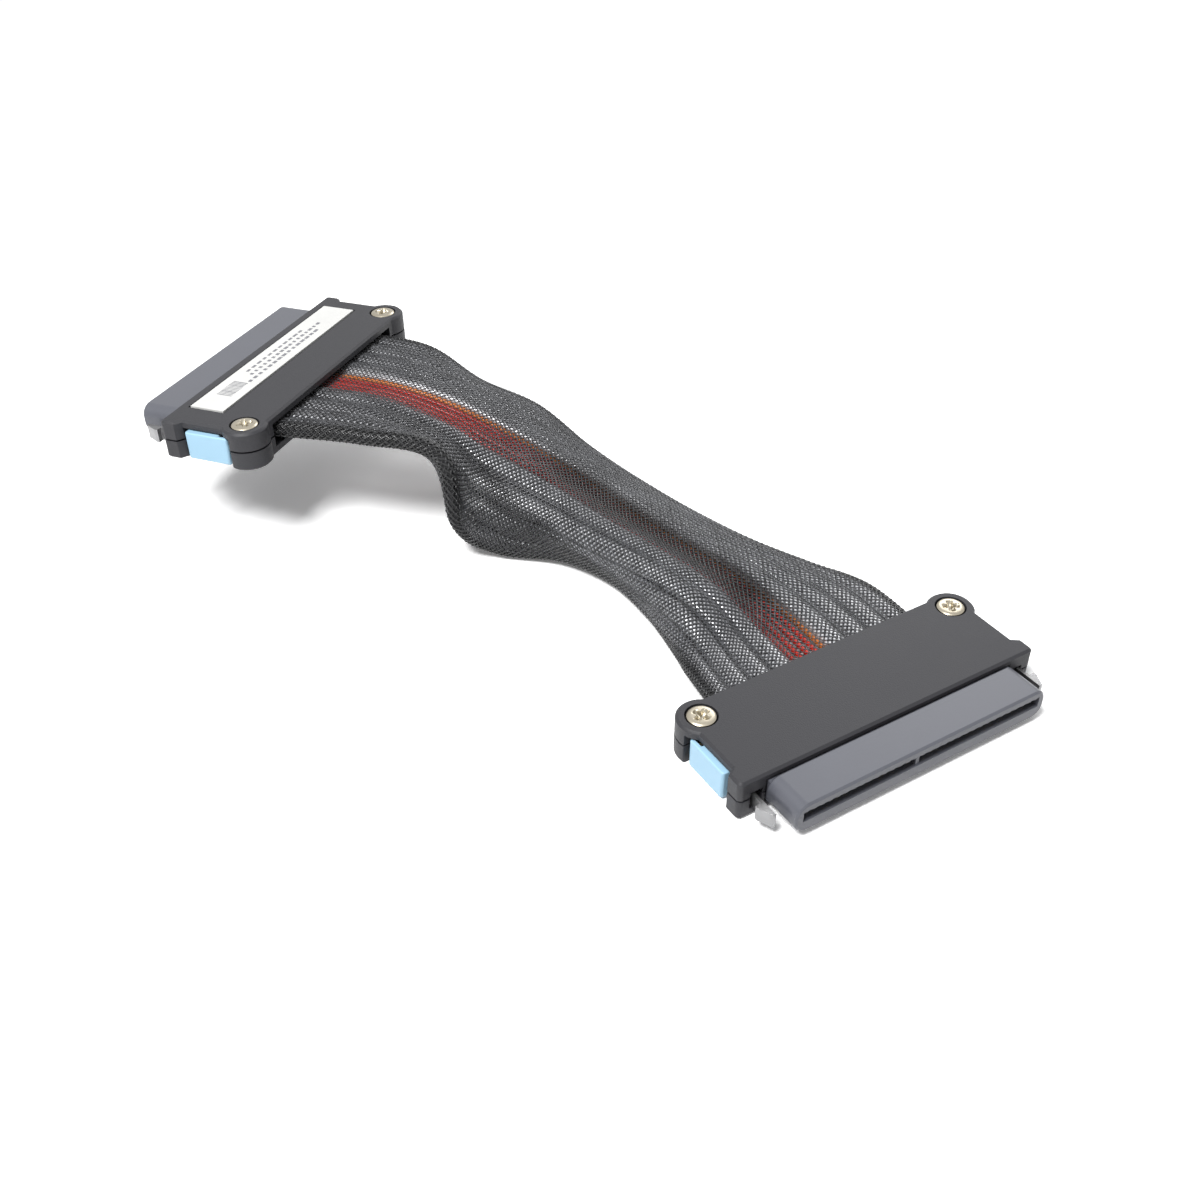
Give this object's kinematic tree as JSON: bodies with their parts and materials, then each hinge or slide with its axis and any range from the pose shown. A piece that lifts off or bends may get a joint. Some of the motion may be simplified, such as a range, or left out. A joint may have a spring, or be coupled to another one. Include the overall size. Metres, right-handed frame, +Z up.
{
  "type": "internal storage cable",
  "caption": "Short flat cable with a wide hooded plug at each end, side release pads, and a braided sleeve that folds and climbs between them.",
  "frame": {"origin": "underside of the near connector's hood, midway between its two screws", "axes": "+X across the near connector, -Y out of its nose, +Y back into the strap, +Z up from the surface it lies on"},
  "size_m": [0.0917, 0.1365, 0.0228],
  "materials": {
    "hood": "fine matt moulded black-grey plastic",
    "nose": "smooth blue-grey moulded plastic",
    "contacts": "thin gilded contact blades on a wafer",
    "moulding": "plain black moulding",
    "screw": "bright nickel plate",
    "insert": "turned brass",
    "release_pad": "satin light blue plastic",
    "latch_steel": "stamped spring steel",
    "label": "white paper with pale grey marks",
    "sleeve": "open braid of black monofilament",
    "pair_jacket": "silver-grey jacket with a satin sheen",
    "red_jacket": "satin red insulation",
    "orange_jacket": "satin orange insulation"
  },
  "bodies": {
    "cable": {"near_top_cover": "hood", "near_bottom_cover": "hood", "near_nose_housing": "nose", "near_contact_carrier": "contacts", "near_strain_relief": "moulding", "near_screw_left": "screw", "near_insert_left": "insert", "near_screw_right": "screw", "near_insert_right": "insert", "far_top_cover": "hood", "far_bottom_cover": "hood", "far_nose_housing": "nose", "far_contact_carrier": "contacts", "far_strain_relief": "moulding", "far_screw_left": "screw", "far_insert_left": "insert", "far_screw_right": "screw", "far_insert_right": "insert", "far_label": "label", "braided_sleeve": "sleeve", "pair_near_1": "pair_jacket", "pair_far_1": "pair_jacket", "pair_near_2": "pair_jacket", "pair_far_2": "pair_jacket", "pair_near_3": "pair_jacket", "pair_far_3": "pair_jacket", "pair_near_4": "pair_jacket", "pair_far_4": "pair_jacket", "sideband_wire_1": "red_jacket", "sideband_wire_2": "red_jacket", "sideband_wire_3": "red_jacket", "sideband_wire_4": "red_jacket", "sideband_wire_5": "orange_jacket"},
    "near_left_latch": {"near_release_pad_left": "release_pad", "near_latch_arm_left": "latch_steel"},
    "near_right_latch": {"near_release_pad_right": "release_pad", "near_latch_arm_right": "latch_steel"},
    "far_left_latch": {"far_release_pad_left": "release_pad", "far_latch_arm_left": "latch_steel"},
    "far_right_latch": {"far_release_pad_right": "release_pad", "far_latch_arm_right": "latch_steel"}
  },
  "joints": [
    {"name": "near_left_press", "type": "slide", "parent": "cable", "child": "near_left_latch", "axis": [1, 0, 0], "range_m": [0, 0.0008], "stiffness_N_per_m": 1500},
    {"name": "near_right_press", "type": "slide", "parent": "cable", "child": "near_right_latch", "axis": [-1, 0, 0], "range_m": [0, 0.0008], "stiffness_N_per_m": 1500},
    {"name": "far_left_press", "type": "slide", "parent": "cable", "child": "far_left_latch", "axis": [-0.7907, -0.6109, 0.0394], "range_m": [0, 0.0008], "stiffness_N_per_m": 1500},
    {"name": "far_right_press", "type": "slide", "parent": "cable", "child": "far_right_latch", "axis": [0.7907, 0.6109, -0.0394], "range_m": [0, 0.0008], "stiffness_N_per_m": 1500}
  ]
}
